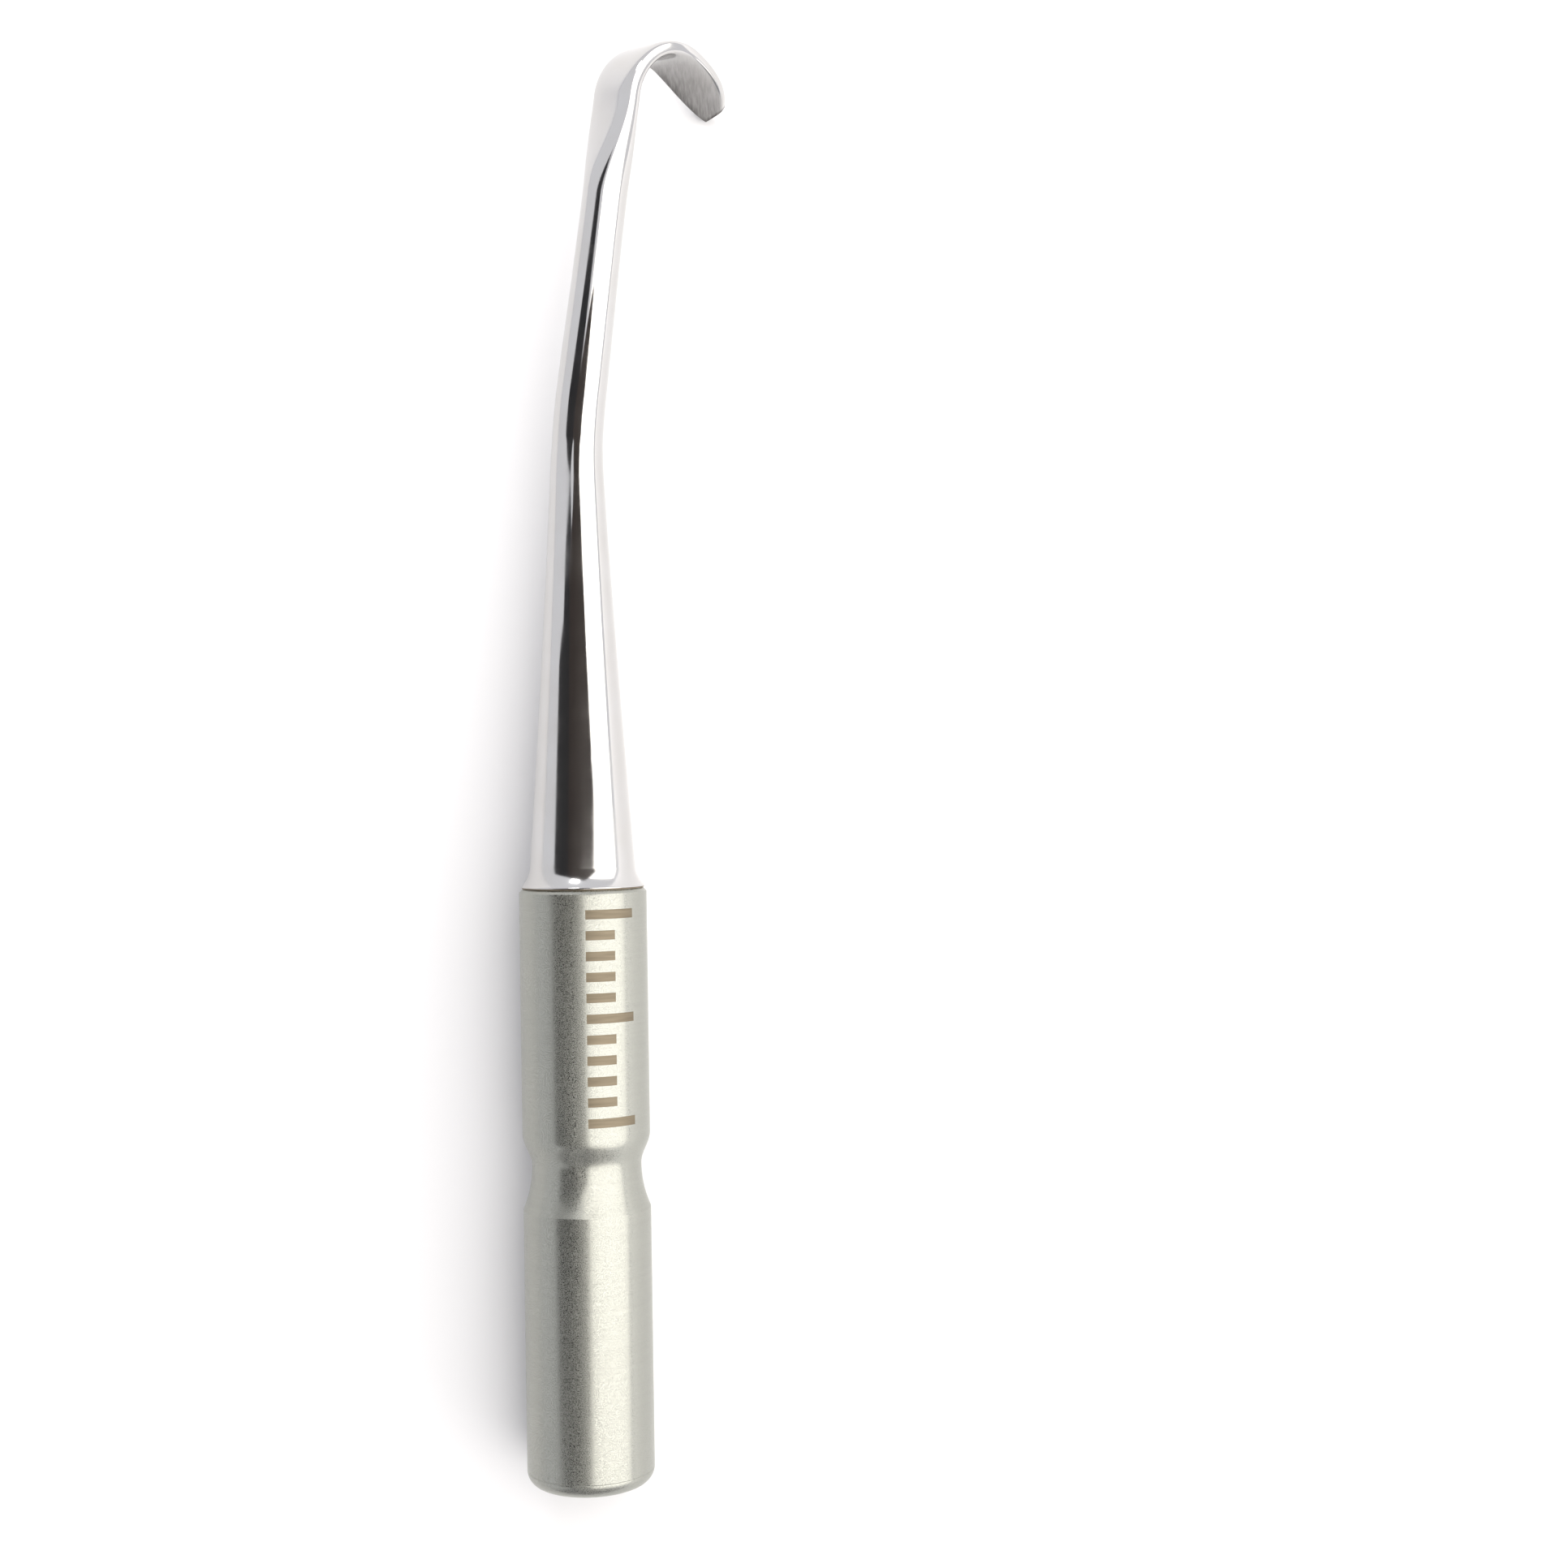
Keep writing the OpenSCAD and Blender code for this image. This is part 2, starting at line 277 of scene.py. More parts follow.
def tarnished_braze(settings):
    """Silver braze filler, tarnished in the joint: a dull brown line with brighter beads."""
    material, output = new_material("tarnished_braze")
    place = add_node(material, "ShaderNodeTexCoord").outputs["Object"]
    # beads and pits about 0.5 mm across
    beads = add_node(material, "ShaderNodeTexNoise", {"Scale": 2000.0, "Detail": 3.0}, {"Vector": place})
    tint = add_node(material, "ShaderNodeMix", data_type="RGBA", links={"Factor": beads.outputs["Fac"]})
    tint.inputs["A"].default_value = linear("#74695b")
    tint.inputs["B"].default_value = linear("#b5aa9a")
    bump = add_node(material, "ShaderNodeBump", {"Strength": 0.8, "Distance": 0.00005},
                    {"Height": beads.outputs["Fac"]})
    shader = add_node(material, "ShaderNodeBsdfPrincipled", {"Metallic": 0.8, "Roughness": 0.5},
                      {"Base Color": tint.outputs["Result"], "Normal": bump.outputs["Normal"]})
    return finish_material(material, output, shader)


def machined_steel(settings):
    """Free-cutting steel left as it came off the lathe, hidden inside the handle."""
    material, output = new_material("machined_steel")
    place = add_node(material, "ShaderNodeTexCoord").outputs["Object"]
    # tool marks 0.3 mm apart
    tool_space = add_node(material, "ShaderNodeMapping", {"Scale": (120, 3300, 120)}, {"Vector": place})
    marks = add_node(material, "ShaderNodeTexNoise", {"Scale": 1.0, "Detail": 3.0},
                     {"Vector": tool_space.outputs["Vector"]})
    bump = add_node(material, "ShaderNodeBump", {"Strength": 0.5, "Distance": 0.00003},
                    {"Height": marks.outputs["Fac"]})
    roughness = add_node(material, "ShaderNodeMapRange", {"To Min": 0.3, "To Max": 0.5},
                         {"Value": marks.outputs["Fac"]})
    shader = add_node(material, "ShaderNodeBsdfPrincipled",
                      {"Metallic": 1.0, "Base Color": linear("#a8a8a4")},
                      {"Roughness": roughness.outputs["Result"], "Normal": bump.outputs["Normal"]})
    return finish_material(material, output, shader)


def matt_white_board():
    """Matt white laminate board under the instrument, with a barely visible unevenness of tone."""
    material, output = new_material("matt_white_board")
    place = add_node(material, "ShaderNodeTexCoord").outputs["Object"]
    # slow change of tone about 80 mm across
    tone = add_node(material, "ShaderNodeTexNoise", {"Scale": 12.0, "Detail": 2.0}, {"Vector": place})
    tint = add_node(material, "ShaderNodeMix", data_type="RGBA", links={"Factor": tone.outputs["Fac"]})
    tint.inputs["A"].default_value = linear("#e2e2e5")
    tint.inputs["B"].default_value = linear("#e7e7e8")
    shader = add_node(material, "ShaderNodeBsdfPrincipled", {"Roughness": 0.75},
                      {"Base Color": tint.outputs["Result"]})
    return finish_material(material, output, shader)


def plain_card(name, hex_colour):
    """Matt card that stands outside the view and shows only in the metal's reflections."""
    material, output = new_material(name)
    shader = add_node(material, "ShaderNodeBsdfPrincipled",
                      {"Roughness": 1.0, "Base Color": linear(hex_colour)})
    return finish_material(material, output, shader)


# ---------------------------------------------------------------- mesh helpers

def piece_from_rings(name, rings, closed_start=True, closed_end=True, shade=None):
    """Skins rings of points, all of one length, into a smooth mesh object.

    shade gives a number for each ring's points, kept on the mesh as the attribute "shade".
    """
    mesh = bpy.data.meshes.new(name)
    build = bmesh.new()
    layer = build.verts.layers.float.new("shade") if shade else None
    rows = [[build.verts.new(point) for point in ring] for ring in rings]
    if shade:
        for row, values in zip(rows, shade):
            for vert, value in zip(row, values):
                vert[layer] = value
    count = len(rows[0])
    for low, high in zip(rows, rows[1:]):
        for i in range(count):
            j = (i + 1) % count
            build.faces.new((low[i], low[j], high[j], high[i]))
    if closed_start:
        build.faces.new(list(reversed(rows[0])))
    if closed_end:
        build.faces.new(rows[-1])
    bmesh.ops.recalc_face_normals(build, faces=build.faces)
    for face in build.faces:
        face.smooth = True
    build.to_mesh(mesh)
    build.free()
    piece = bpy.data.objects.new(name, mesh)
    bpy.context.scene.collection.objects.link(piece)
    return piece


def weld(piece):
    """Joins the last ring of a hollow piece to its first."""
    build = bmesh.new()
    build.from_mesh(piece.data)
    bmesh.ops.remove_doubles(build, verts=build.verts, dist=WELD_DISTANCE)
    bmesh.ops.recalc_face_normals(build, faces=build.faces)
    build.to_mesh(piece.data)
    build.free()


def lathe_rings(profile, segments):
    """Rings round the Y axis from pairs of (distance along Y, radius)."""
    turns = [2 * math.pi * i / segments for i in range(segments)]
    return [[(radius * math.cos(turn), along, radius * math.sin(turn)) for turn in turns]
            for along, radius in profile]


def round_edges(piece, width, angle=30.0, segments=3):
    """Rounds the sharp edges of a piece, as tumbling or buffing leaves them."""
    bevel = piece.modifiers.new("round_edges", "BEVEL")
    bevel.width = width
    bevel.segments = segments
    bevel.limit_method = "ANGLE"
    bevel.angle_limit = math.radians(angle)
    bevel.harden_normals = False


def finish_piece(piece, material, slot_name, *nodes):
    """Gives a piece its material, lets it ride on the instrument and hides the nodes it stands for."""
    piece.data.materials.append(material)
    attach(piece, "root")
    if nodes:
        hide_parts(*nodes)


def material_once(maker, settings):
    """Returns the maker's material, making it the first time."""
    return bpy.data.materials.get(maker.__name__) or maker(settings)


def ease(x):
    """Blends from 0 to 1 and is level at both ends."""
    t = min(max(x, 0.0), 1.0)
    return t * t * (3 - 2 * t)


# ---------------------------------------------------------------- centre line of the working end

class CentreLine:
    """Centre line and sections of the shank and the hooked blade, in millimetres."""

    def __init__(self, size):
        self.size = size
        self.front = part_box("handle_barrel")[1][1] / MM
        side, lift, roll = map(math.radians, (size.side_bend, size.lift_bend, size.hook_roll))
        self.forward = Vector((math.tan(side), 1.0, math.tan(lift))).normalized()
        self.bend = math.acos(self.forward.y)
        self.bend_side = Vector((self.forward.x, 0.0, self.forward.z)).normalized()
        hook = Vector((math.cos(roll), 0.0, -math.sin(roll)))
        self.hook_side = (hook - self.forward * hook.dot(self.forward)).normalized()
        self.bend_length = size.bend_radius * self.bend
        self.hook_start = size.straight_length + self.bend_length + size.upper_length
        self.crown = math.radians(size.crown_turn)
        self.crown_length = size.crown_radius * self.crown
        turn = math.radians(size.hook_turn)
        self.hook_length = self.crown_length + size.tip_arc_radius * (turn - self.crown)
        self.length = self.hook_start + self.hook_length
        self.bend_end = self.bend_point(self.bend)
        self.hook_base = self.bend_end + self.forward * size.upper_length

    def bend_point(self, angle):
        """Point of the bend's arc at an angle from its start."""
        radius = self.size.bend_radius
        start = Vector((0.0, self.front + self.size.straight_length + radius * math.sin(angle), 0.0))
        return start + self.bend_side * radius * (1 - math.cos(angle))

    def hook_angle(self, s):
        """Angle turned round the hook at distance s."""
        past = s - self.hook_start
        if past <= 0:
            return 0.0
        if past <= self.crown_length:
            return past / self.size.crown_radius
        return self.crown + (past - self.crown_length) / self.size.tip_arc_radius

    def hook_arc(self, radius, a, b):
        """Step along an arc in the hook's plane from angle a to angle b."""
        ahead = (math.sin(b) - math.sin(a)) * self.forward
        aside = (math.cos(a) - math.cos(b)) * self.hook_side
        return radius * (ahead + aside)

    def point(self, s):
        """Point of the centre line at distance s."""
        size = self.size
        if s <= size.straight_length:
            return Vector((0.0, self.front + s, 0.0))
        if s <= size.straight_length + self.bend_length:
            return self.bend_point((s - size.straight_length) / size.bend_radius)
        if s <= self.hook_start:
            return self.bend_end + self.forward * (s - size.straight_length - self.bend_length)
        h = self.hook_angle(s)
        return (self.hook_base + self.hook_arc(size.crown_radius, 0.0, min(h, self.crown))
                + self.hook_arc(size.tip_arc_radius, self.crown, max(h, self.crown)))

    def directions(self, s):
        """Forward and outward directions at distance s."""
        size = self.size
        h = self.hook_angle(s)
        if s > self.hook_start:
            forward = math.cos(h) * self.forward + math.sin(h) * self.hook_side
            return forward, math.sin(h) * self.forward - math.cos(h) * self.hook_side
        a = self.bend * min(max((s - size.straight_length) / self.bend_length, 0.0), 1.0)
        forward = math.cos(a) * Vector((0.0, 1.0, 0.0)) + math.sin(a) * self.bend_side
        outward = -(self.hook_side - forward * self.hook_side.dot(forward)).normalized()
        return forward, outward

    def radius(self, s):
        """Radius of the round shank at distance s."""
        size = self.size
        if s <= size.taper_length:
            share = (1 - s / size.taper_length) ** size.taper_power
            return size.shank_neck_radius + (size.shank_base_radius - size.shank_neck_radius) * share
        past = (s - size.taper_length) / (self.hook_start - size.flatten_length - size.taper_length)
        return size.shank_neck_radius + (size.shank_end_radius - size.shank_neck_radius) * ease(past)

    def ring(self, s, points):
        """Closed ring of points round the section at distance s, in metres."""
        size = self.size
        share = min(max((s - self.hook_start) / self.hook_length, 0.0), 1.0)
        flat = ease((s - self.hook_start + size.flatten_length) / size.flatten_length)
        r = self.radius(s)
        blade_width = size.blade_width + (size.tip_width - size.blade_width) * share ** size.narrowing_power
        blade_thickness = size.blade_thickness + (size.tip_thickness - size.blade_thickness) * share
        half_width = r + (blade_width / 2 - r) * flat
        half_thickness = r + (blade_thickness / 2 - r) * flat
        power = 2 / (2 + (size.blade_squareness - 2) * flat)
        forward, outward = self.directions(s)
        wide = forward.cross(outward)
        turn = math.radians(size.blade_twist) * ease(share * TWIST_RATE)
        out_turned = outward * math.cos(turn) - wide * math.sin(turn)
        wide_turned = wide * math.cos(turn) + outward * math.sin(turn)
        slant = size.tip_slant * share ** SLANT_POWER
        centre = self.point(s)
        ring = []
        for i in range(points):
            a = 2 * math.pi * i / points
            w = half_width * math.copysign(abs(math.cos(a)) ** power, math.cos(a))
            h = half_thickness * math.copysign(abs(math.sin(a)) ** power, math.sin(a))
            ring.append((centre + wide_turned * w + out_turned * h - forward * w * slant) * MM)
        return ring

    def inner_face(self, s, points):
        """How dark and dull each point of the section at distance s is, from 0 to 1; the darkness is painted
        shade.

        It is most on the far side of the inner face, where the face reflects the shaded table.
        """
        along = ease((s - self.hook_start - SHADE_AND_DULL_START) / (SHADE_AND_DULL_SHARE * self.hook_length))
        if s > self.length - TIP_REACH:
            return [1.0] * points
        turns = [2 * math.pi * i / points for i in range(points)]
        return [along * ease(-math.sin(a) * 2.2 - 0.3) * (0.62 - 0.38 * math.cos(a)) for a in turns]


# ---------------------------------------------------------------- settings

class ElevatorWorkingEnd(bpy.types.PropertyGroup):
    """Sizes of the working end, in millimetres and degrees."""

    straight_length: FloatProperty(
        name="Straight length", description="Straight shank in front of the handle", default=40.0)
    bend_radius: FloatProperty(
        name="Bend radius", description="Radius of the bend in the shank", default=45.0)
    side_bend: FloatProperty(
        name="Side bend", description="Sideways angle after the bend, degrees", default=8.4)
    lift_bend: FloatProperty(
        name="Lift bend", description="Upward angle after the bend, degrees", default=7.3)
    upper_length: FloatProperty(
        name="Upper length", description="Straight shank between bend and hook", default=28.5)
    hook_roll: FloatProperty(
        name="Hook roll", description="Roll of the hook below the horizontal, degrees", default=45.5)
    crown_radius: FloatProperty(
        name="Crown radius", description="Centre-line radius round the crown", default=5.15)
    crown_turn: FloatProperty(
        name="Crown turn", description="Angle turned round the crown, degrees", default=113.0)
    tip_arc_radius: FloatProperty(
        name="Tip arc radius", description="Centre-line radius towards the tip", default=20.4)
    hook_turn: FloatProperty(
        name="Hook turn", description="Angle from hook start to tip, degrees", default=132.5)
    blade_width: FloatProperty(
        name="Blade width", description="Width at the start of the hook", default=5.7)
    tip_width: FloatProperty(
        name="Tip width", description="Width of the blade at the tip", default=2.5)
    narrowing_power: FloatProperty(
        name="Narrowing power", description="More keeps the blade wide for longer", default=8.5)
    blade_thickness: FloatProperty(
        name="Blade thickness", description="Thickness at the start of the hook", default=1.7)
    tip_thickness: FloatProperty(
        name="Tip thickness", description="Thickness of the blade at the tip", default=1.2)
    blade_squareness: FloatProperty(
        name="Squareness", description="Squareness of the blade's section", default=4.4)
    flatten_length: FloatProperty(
        name="Flatten length", description="Length from round shank to flat blade", default=9.3)
    blade_twist: FloatProperty(
        name="Blade twist", description="Twist of the blade round the hook, degrees", default=16.0)
    tip_slant: FloatProperty(
        name="Tip slant", description="Slant of the cut at the tip", default=0.28)
    shank_base_radius: FloatProperty(
        name="Base radius", description="Radius of the taper at the foot", default=5.33)
    shank_neck_radius: FloatProperty(
        name="Neck radius", description="Radius where the taper ends", default=2.51)
    shank_end_radius: FloatProperty(
        name="End radius", description="Radius where the blade begins", default=2.18)
    taper_length: FloatProperty(
        name="Taper length", description="Length of the taper", default=44.0)
    taper_power: FloatProperty(
        name="Taper power", description="Curve of the taper", default=1.15)
    foot_radius: FloatProperty(
        name="Foot radius", description="Outer radius of the foot", default=6.1)
    foot_flare_height: FloatProperty(
        name="Foot flare", description="Height of the flare at the foot", default=1.9)
    tang_radius: FloatProperty(
        name="Tang radius", description="Radius of the tang inside the handle", default=2.4)
    edge_round: FloatProperty(
        name="Edge round", description="Rounding of the blade's cut end", default=0.14)
    sections: IntProperty(
        name="Sections", description="Cross sections along the shank and blade", default=260)
    points: IntProperty(
        name="Points", description="Points round each cross section", default=72)


class ElevatorHandle(bpy.types.PropertyGroup):
    """Sizes of the handle, in millimetres."""

    front_barrel_length: FloatProperty(
        name="Front barrel", description="Length in front of the waist groove", default=24.0)
    groove_length: FloatProperty(
        name="Groove length", description="Length of the waist groove", default=7.4)
    groove_depth: FloatProperty(
        name="Groove depth", description="Depth of the waist groove", default=0.9)
    groove_front_share: FloatProperty(
        name="Groove share", description="Share of the groove before its lowest point",
        default=0.42, subtype="FACTOR")
    face_chamfer: FloatProperty(
        name="Face chamfer", description="Chamfer round the front face", default=0.35)
    corner_radius: FloatProperty(
        name="Corner radius", description="Rounded corner at the butt", default=1.5)
    edge_round: FloatProperty(
        name="Edge round", description="Rounding of the turned edges", default=0.1)
    segments: IntProperty(
        name="Segments", description="Segments round the handle", default=192)


class ElevatorFinish(bpy.types.PropertyGroup):
    """Colours and roughness of the finishes."""

    satin_dark: StringProperty(
        name="Satin dark", description="Darker tone of the satin steel", default="#a0a19b")
    satin_light: StringProperty(
        name="Satin light", description="Lighter tone of the satin steel", default="#abaca5")
    mark_dark: StringProperty(
        name="Mark dark", description="Darker tone of the laser marks", default="#5f5648")
    mark_light: StringProperty(
        name="Mark light", description="Lighter tone of the laser marks", default="#837967")
    polish_roughness: FloatProperty(
        name="Polish roughness", description="Roughness of the polished steel",
        default=0.05, subtype="FACTOR")
    satin_roughness: FloatProperty(
        name="Satin roughness", description="Roughness of the satin steel", default=0.21, subtype="FACTOR")
    mark_start: FloatProperty(
        name="Mark start", description="First mark behind the front face, mm", default=2.3)
    mark_pitch: FloatProperty(
        name="Mark pitch", description="Distance between marks, mm", default=2.0)
    mark_count: IntProperty(
        name="Mark count", description="Number of graduation marks", default=11)
    mark_width: FloatProperty(
        name="Mark width", description="Width of a mark along the handle, mm", default=0.9)


class ElevatorStage(bpy.types.PropertyGroup):
    """Camera, lights and cards."""

    camera_place: FloatVectorProperty(
        name="Camera place", description="Place of the camera", subtype="TRANSLATION", unit="LENGTH",
        default=(0.01994, 0.06833, 0.215))
    camera_turn: FloatProperty(
        name="Camera turn", description="Turn of the camera about its line of sight",
        default=-0.0146, subtype="ANGLE")
    camera_lens: FloatProperty(
        name="Camera lens", description="Focal length on a 36 mm sensor, mm", default=50.16, unit="CAMERA")
    sky: FloatProperty(
        name="Sky", description="Strength of the even light", default=1.0)
    key: FloatProperty(
        name="Key", description="Power of the soft box, watts", default=4.9, unit="POWER")
    end: FloatProperty(
        name="End lamp", description="Power of the small lamp beyond the blade, watts",
        default=0.5, unit="POWER")


# ---------------------------------------------------------------- operators

class ELEVATOR_OT_working_end(bpy.types.Operator):
    """Build the polished working end: tang, foot, tapered shank and hooked blade"""

    bl_idname = "elevator.working_end"
    bl_label = "Working end"

    def execute(self, context):
        size = context.scene.elevator_working_end
        line = CentreLine(size)
        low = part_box("working_end")[0][1] / MM
        tang = size.tang_radius
        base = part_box("braze_ring")[1][1] / MM
        profile = [(low, TANG_END_HOLE), (low, tang - TANG_CHAMFER), (low + TANG_CHAMFER, tang), (base, tang),
                   (base, size.foot_radius - FOOT_INSET)]
        for step in range(FLARE_STEPS + 1):
            rise = FOOT_RIM + (size.foot_flare_height - FOOT_RIM) * step / FLARE_STEPS
            flare = (size.foot_radius - size.shank_base_radius) * (1 - rise / size.foot_flare_height) ** 2
            profile.append((base + rise, line.radius(base + rise - line.front) + flare))
        rings = lathe_rings([(along * MM, radius * MM) for along, radius in profile], size.points)
        start = profile[-1][0] - line.front + SHANK_GAP
        frame_ring = line.ring(start, size.points)
        offset = self.matching_start(rings[-1], frame_ring)
        rings = [ring[offset:] + ring[:offset] for ring in rings]
        if self.turns_backwards(rings[-1], frame_ring):
            rings = [[ring[0]] + ring[:0:-1] for ring in rings]
        # painted shade and dullness for each point, none on the tang and the foot
        shade = [[0.0] * size.points for _ in rings]
        for step in range(size.sections):
            s = start + (line.length - start) * step / (size.sections - 1)
            rings.append(line.ring(s, size.points))
            shade.append(line.inner_face(s, size.points))
        piece = piece_from_rings("working_end_polished", rings, shade=shade)
        round_edges(piece, size.edge_round * MM, 50.0)
        finish_piece(piece, material_once(polished_stainless, context.scene.elevator_finish),
                     "polished_steel", "working_end")
        return {"FINISHED"}

    @staticmethod
    def matching_start(ring, target):
        """Index of the ring's point nearest to the target ring's first point."""
        first = Vector(target[0])
        return min(range(len(ring)), key=lambda i: (Vector((ring[i][0], first.y, ring[i][2])) - first).length)

    @staticmethod
    def turns_backwards(ring, target):
        """Whether the ring runs the other way round than the target ring."""
        ahead = Vector(target[1])
        forward = (Vector((ring[1][0], ahead.y, ring[1][2])) - ahead).length
        backward = (Vector((ring[-1][0], ahead.y, ring[-1][2])) - ahead).length
        return backward < forward


class ELEVATOR_OT_handle_barrel(bpy.types.Operator):
    """Build the satin barrel with its waist groove and bore"""

    bl_idname = "elevator.handle_barrel"
    bl_label = "Handle barrel"

    def execute(self, context):
        size = context.scene.elevator_handle
        low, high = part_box("handle_barrel")
        start, front, radius = low[1] / MM, high[1] / MM, high[0] / MM
        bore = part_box("front_bush")[1][0] / MM
        groove_end = front - size.front_barrel_length
        groove_start = groove_end - size.groove_length
        groove_low = groove_end - size.groove_length * size.groove_front_share
        depth = size.groove_depth
        profile = [(start, bore), (start, radius - REAR_EDGE_IN), (start + REAR_EDGE_ALONG, radius)]
        profile += [(groove_start - d, radius) for d in BEHIND_GROOVE]
        rear, ahead = groove_low - groove_start, groove_end - groove_low
        arc = (rear * rear + depth * depth) / (2 * depth)
        for step in range(GROOVE_STEPS + 1):
            x = rear * (1 - step / GROOVE_STEPS)
            profile.append((groove_low - x, radius - depth + arc - math.sqrt(arc * arc - x * x)))
        for step in range(1, GROOVE_STEPS + 1):
            rise = depth * (1 - math.cos(math.pi * step / GROOVE_STEPS)) / 2
            profile.append((groove_low + ahead * step / GROOVE_STEPS, radius - depth + rise))
        profile += [(groove_end + d, radius) for d in AHEAD_OF_GROOVE]
        profile += [(front - size.face_chamfer - BEHIND_CHAMFER, radius), (front - size.face_chamfer, radius),
                    (front, radius - size.face_chamfer), (front, bore), (start, bore)]
        rings = lathe_rings([(along * MM, r * MM) for along, r in profile], size.segments)
        piece = piece_from_rings("handle_barrel_satin", rings, closed_start=False, closed_end=False)
        weld(piece)
        round_edges(piece, size.edge_round * MM, 17.0)
        finish_piece(piece, material_once(satin_stainless, context.scene.elevator_finish),
                     "satin_steel", "handle_barrel")
        return {"FINISHED"}


class ELEVATOR_OT_butt_plug(bpy.types.Operator):
    """Build the satin butt plug with its rounded corner and its spigot"""

    bl_idname = "elevator.butt_plug"
    bl_label = "Butt plug"

    def execute(self, context):
        size = context.scene.elevator_handle
        low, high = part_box("butt_plug")
        radius, end = high[0] / MM, high[1] / MM
        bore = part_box("front_bush")[1][0] / MM
        corner = size.corner_radius
        profile = [(low[1] / MM, PLUG_END_HOLE), (low[1] / MM, radius - corner - PLUG_CHAMFER)]
        for step in range(CORNER_STEPS + 1):
            a = math.radians(90 * step / CORNER_STEPS)
            profile.append((corner - corner * math.cos(a), radius - corner + corner * math.sin(a)))
        profile += [(corner, bore), (end - PLUG_CHAMFER, bore), (end, bore - PLUG_CHAMFER),
                    (end, PLUG_END_HOLE)]
        rings = lathe_rings([(along * MM, r * MM) for along, r in profile], size.segments)
        piece = piece_from_rings("butt_plug_satin", rings)
        round_edges(piece, PLUG_EDGE_ROUND * MM, 50.0, 2)
        finish_piece(piece, material_once(satin_stainless, context.scene.elevator_finish),
                     "satin_steel", "butt_plug")
        return {"FINISHED"}


class ELEVATOR_OT_braze_line(bpy.types.Operator):
    """Build the uneven braze line between the foot of the shank and the barrel"""

    bl_idname = "elevator.braze_line"
    bl_label = "Braze line"

    def execute(self, context):
        size = context.scene.elevator_handle
        low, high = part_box("braze_ring")
        inner = context.scene.elevator_working_end.tang_radius * MM
        rings = []
        middle, half = (low[1] + high[1]) / 2, (high[1] - low[1]) / 2
        for step in range(BRAZE_STEPS + 1):
            a = math.pi * step / BRAZE_STEPS
            ring = []
            for i in range(size.segments):
                t = 2 * math.pi * i / size.segments
                # beads about 1.5 mm long, standing less than 0.3 mm proud of the ring
                bead = noise.noise(Vector((math.cos(t) * 5, math.sin(t) * 5, 0.3)))
                bead += 0.5 * noise.noise(Vector((math.cos(t) * 14, math.sin(t) * 14, 1.7)))
                radius = high[0] - BRAZE_SINK * MM + (BRAZE_BULGE + BRAZE_BEAD * bead) * MM * math.sin(a)
                ring.append((radius * math.cos(t), middle - half * math.cos(a), radius * math.sin(t)))
            rings.append(ring)
        inner_low = [(inner * math.cos(2 * math.pi * i / size.segments), low[1],
                      inner * math.sin(2 * math.pi * i / size.segments)) for i in range(size.segments)]
        inner_high = [(x, high[1], z) for x, y, z in inner_low]
        rings = [inner_high, inner_low] + rings + [inner_high]
        piece = piece_from_rings("braze_line_tarnished", rings, closed_start=False, closed_end=False)
        weld(piece)
        finish_piece(piece, material_once(tarnished_braze, context.scene.elevator_finish),
                     "braze_filler", "braze_ring")
        return {"FINISHED"}


class ELEVATOR_OT_graduations(bpy.types.Operator):
    """Lay the plain graduation marks along the front barrel"""

    bl_idname = "elevator.graduations"
    bl_label = "Graduation marks"

    def execute(self, context):
        finish = context.scene.elevator_finish
        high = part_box("handle_barrel")[1]
        front, radius = high[1] / MM, high[0] / MM + MARK_FILM
        mesh = bpy.data.meshes.new("graduation_marks")
        build = bmesh.new()
        for index in range(finish.mark_count):
            middle = front - finish.mark_start - finish.mark_pitch * index
            # every fifth mark is long, as on a plain depth scale
            last = LONG_MARK_END if index % LONG_MARK_EVERY == 0 else SHORT_MARK_END
            rows = []
            for side in (-0.5, 0.5):
                rows.append([])
                along = (middle + side * finish.mark_width) * MM
                for step in range(MARK_STEPS + 1):
                    a = math.radians(MARK_BEGIN + (last - MARK_BEGIN) * step / MARK_STEPS)
                    point = (radius * math.sin(a) * MM, along, radius * math.cos(a) * MM)
                    rows[-1].append(build.verts.new(point))
            for step in range(MARK_STEPS):
                face = build.faces.new((rows[0][step], rows[0][step + 1], rows[1][step + 1], rows[1][step]))
                face.smooth = True
        bmesh.ops.recalc_face_normals(build, faces=build.faces)
        build.to_mesh(mesh)
        build.free()
        piece = bpy.data.objects.new("graduation_marks", mesh)
        context.scene.collection.objects.link(piece)
        finish_piece(piece, material_once(laser_annealed_stainless, finish), "satin_steel")
        return {"FINISHED"}


class ELEVATOR_OT_hidden_parts(bpy.types.Operator):
    """Give the bushes and the lock pin inside the handle their machined finish"""

    bl_idname = "elevator.hidden_parts"
    bl_label = "Bushes and pin"

    def execute(self, context):
        material = material_once(machined_steel, context.scene.elevator_finish)
        for name in ("front_bush", "rear_bush", "lock_pin"):
            for material_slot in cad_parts[name].material_slots:
                material_slot.material = material
        return {"FINISHED"}


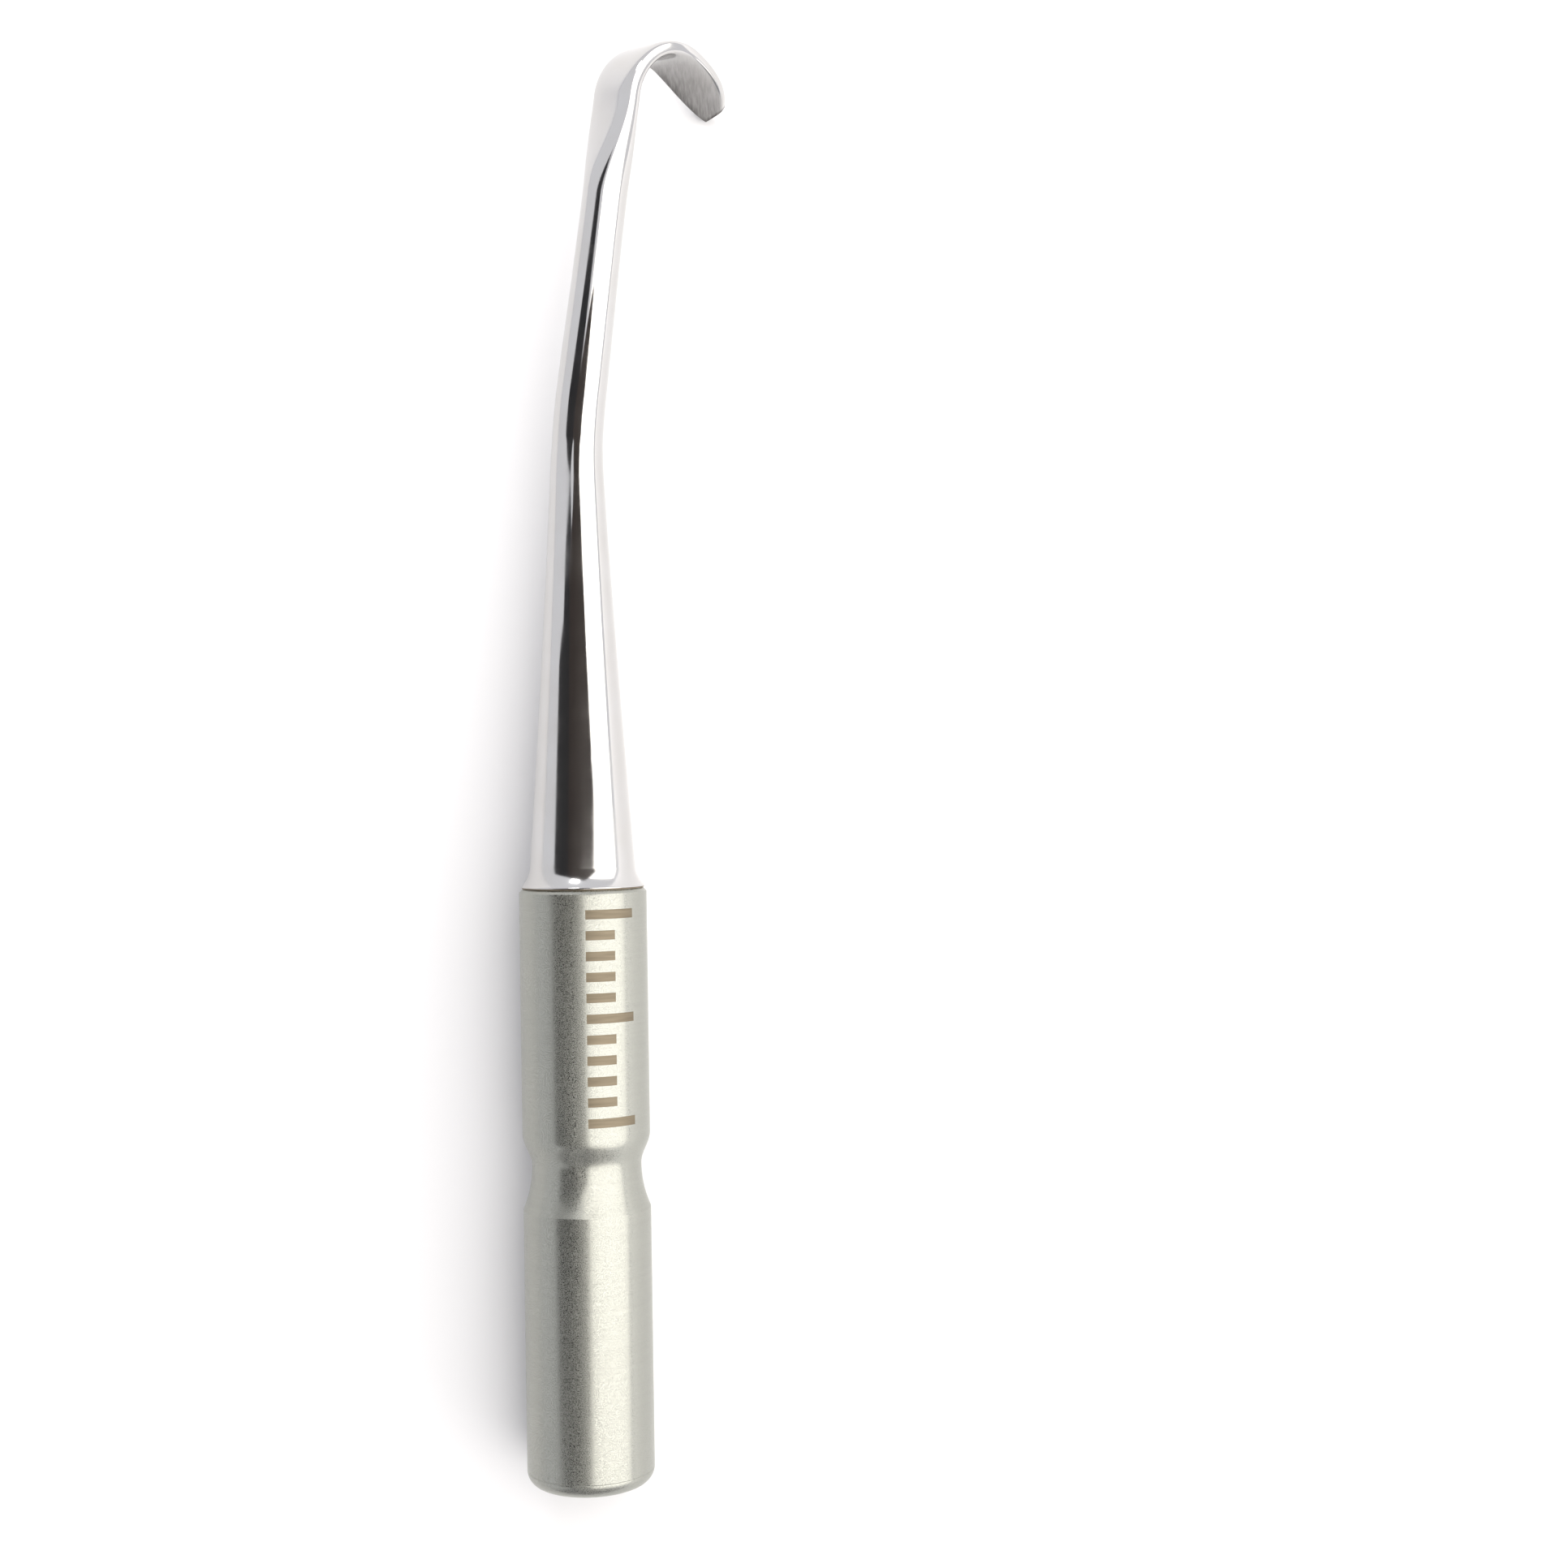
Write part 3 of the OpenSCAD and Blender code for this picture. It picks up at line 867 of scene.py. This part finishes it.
class ELEVATOR_OT_stage(bpy.types.Operator):
    """Set the camera, the table, the soft box and the cards"""

    bl_idname = "elevator.stage"
    bl_label = "Stage"

    def execute(self, context):
        scene = context.scene
        stage = scene.elevator_stage
        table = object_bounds()[0][2]
        self.card("table_top", matt_white_board(), [
            (-2.0, -2.0, table), (2.0, -2.0, table), (2.0, 2.0, table), (-2.0, 2.0, table)], shown=True)
        # dark card to the left, reflected by the shank and the handle; it also shades the table
        high = 0.235
        black = plain_card("black_card", "#29292b")
        dark_card = self.card("dark_card", black, [
            (-0.31, -0.16, high), (0.03, -0.16, high), (0.03, 0.04, high), (-0.035, 0.09, high),
            (-0.05, 0.125, high), (-0.09, 0.160, high), (-0.20, 0.160, high), (-0.31, 0.13, high)])
        dark_card.visible_diffuse = True
        # black and brown cards close over the lower shank
        low = 0.045
        self.card("near_dark_card", black,
                  [(-0.070, 0.061, low), (-0.020, 0.061, low), (-0.020, 0.098, low), (-0.070, 0.094, low)])
        self.card("brown_card", plain_card("brown_board", "#38312e"),
                  [(-0.022, 0.061, low), (0.022, 0.061, low), (0.030, 0.074, low), (0.022, 0.090, low),
                   (0.014, 0.106, low), (0.008, 0.116, low), (0.002, 0.116, low), (-0.010, 0.106, low),
                   (-0.022, 0.100, low)])
        # dark screen behind the butt, which darkens what the metal reflects from that side
        self.card("dark_screen", plain_card("grey_cloth", "#77777a"),
                  [(-0.35, -0.40, 0.02), (0.35, -0.40, 0.02), (0.35, -0.40, 0.60), (-0.35, -0.40, 0.60)])
        world = bpy.data.worlds.new("even_light")
        world.use_nodes = True
        world.node_tree.nodes["Background"].inputs["Color"].default_value = linear("#fbfbff")
        world.node_tree.nodes["Background"].inputs["Strength"].default_value = stage.sky
        scene.world = world
        scene.view_settings.view_transform = "Standard"
        self.lamp("soft_box", (0.284, 0.08, 0.344), (0.90, 0.82), stage.key, "#fffaf1")
        self.lamp("end_lamp", (-0.10, 0.55, 0.34), (0.12, 0.12), stage.end, "#ffffff")
        camera_data = bpy.data.cameras.new("camera")
        camera_data.lens = stage.camera_lens
        camera_data.sensor_width = 36.0
        camera_data.clip_start = 0.01
        camera = bpy.data.objects.new("camera", camera_data)
        camera.location = stage.camera_place
        camera.rotation_euler = (0.0, 0.0, stage.camera_turn)
        scene.collection.objects.link(camera)
        scene.camera = camera
        return {"FINISHED"}

    @staticmethod
    def card(name, material, corners, shown=False):
        """Flat card between corners, seen only in reflections unless it is shown."""
        mesh = bpy.data.meshes.new(name)
        build = bmesh.new()
        build.faces.new([build.verts.new(corner) for corner in corners])
        build.to_mesh(mesh)
        build.free()
        card = bpy.data.objects.new(name, mesh)
        card.data.materials.append(material)
        bpy.context.scene.collection.objects.link(card)
        if not shown:
            card.visible_camera = False
            card.visible_diffuse = False
            card.visible_shadow = False
        card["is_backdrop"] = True
        return card

    @staticmethod
    def lamp(name, place, size, power, hex_colour):
        """Rectangular soft light aimed at the middle of the instrument."""
        data = bpy.data.lights.new(name, "AREA")
        data.shape = "RECTANGLE"
        data.size, data.size_y = size
        data.energy = power
        data.color = linear(hex_colour)[:3]
        lamp = bpy.data.objects.new(name, data)
        lamp.location = place
        middle = Vector((0.0, 0.07, 0.0))
        lamp.rotation_euler = (middle - Vector(place)).to_track_quat("-Z", "Y").to_euler()
        bpy.context.scene.collection.objects.link(lamp)


class ELEVATOR_PT_panel(bpy.types.Panel):
    """Sidebar panel with a button for each piece"""

    bl_label = "Dental elevator"
    bl_idname = "ELEVATOR_PT_panel"
    bl_space_type = "VIEW_3D"
    bl_region_type = "UI"
    bl_category = "Elevator"

    def draw(self, context):
        for operator in OPERATORS:
            self.layout.operator(operator.bl_idname)


GROUPS = {
    "elevator_working_end": ElevatorWorkingEnd,
    "elevator_handle": ElevatorHandle,
    "elevator_finish": ElevatorFinish,
    "elevator_stage": ElevatorStage,
}
OPERATORS = (
    ELEVATOR_OT_working_end,
    ELEVATOR_OT_handle_barrel,
    ELEVATOR_OT_butt_plug,
    ELEVATOR_OT_braze_line,
    ELEVATOR_OT_graduations,
    ELEVATOR_OT_hidden_parts,
    ELEVATOR_OT_stage,
)


def register():
    """Registers the settings, the operators and the panel."""
    for name, group in GROUPS.items():
        bpy.utils.register_class(group)
        setattr(bpy.types.Scene, name, PointerProperty(type=group))
    for operator in OPERATORS:
        bpy.utils.register_class(operator)
    bpy.utils.register_class(ELEVATOR_PT_panel)


def unregister():
    """Removes the panel, the operators and the settings."""
    bpy.utils.unregister_class(ELEVATOR_PT_panel)
    for operator in reversed(OPERATORS):
        bpy.utils.unregister_class(operator)
    for name, group in GROUPS.items():
        delattr(bpy.types.Scene, name)
        bpy.utils.unregister_class(group)


def main():
    """Builds every piece and the stage."""
    register()
    for operator in OPERATORS:
        group, name = operator.bl_idname.split(".")
        getattr(getattr(bpy.ops, group), name)()


if __name__ == "__main__":
    main()
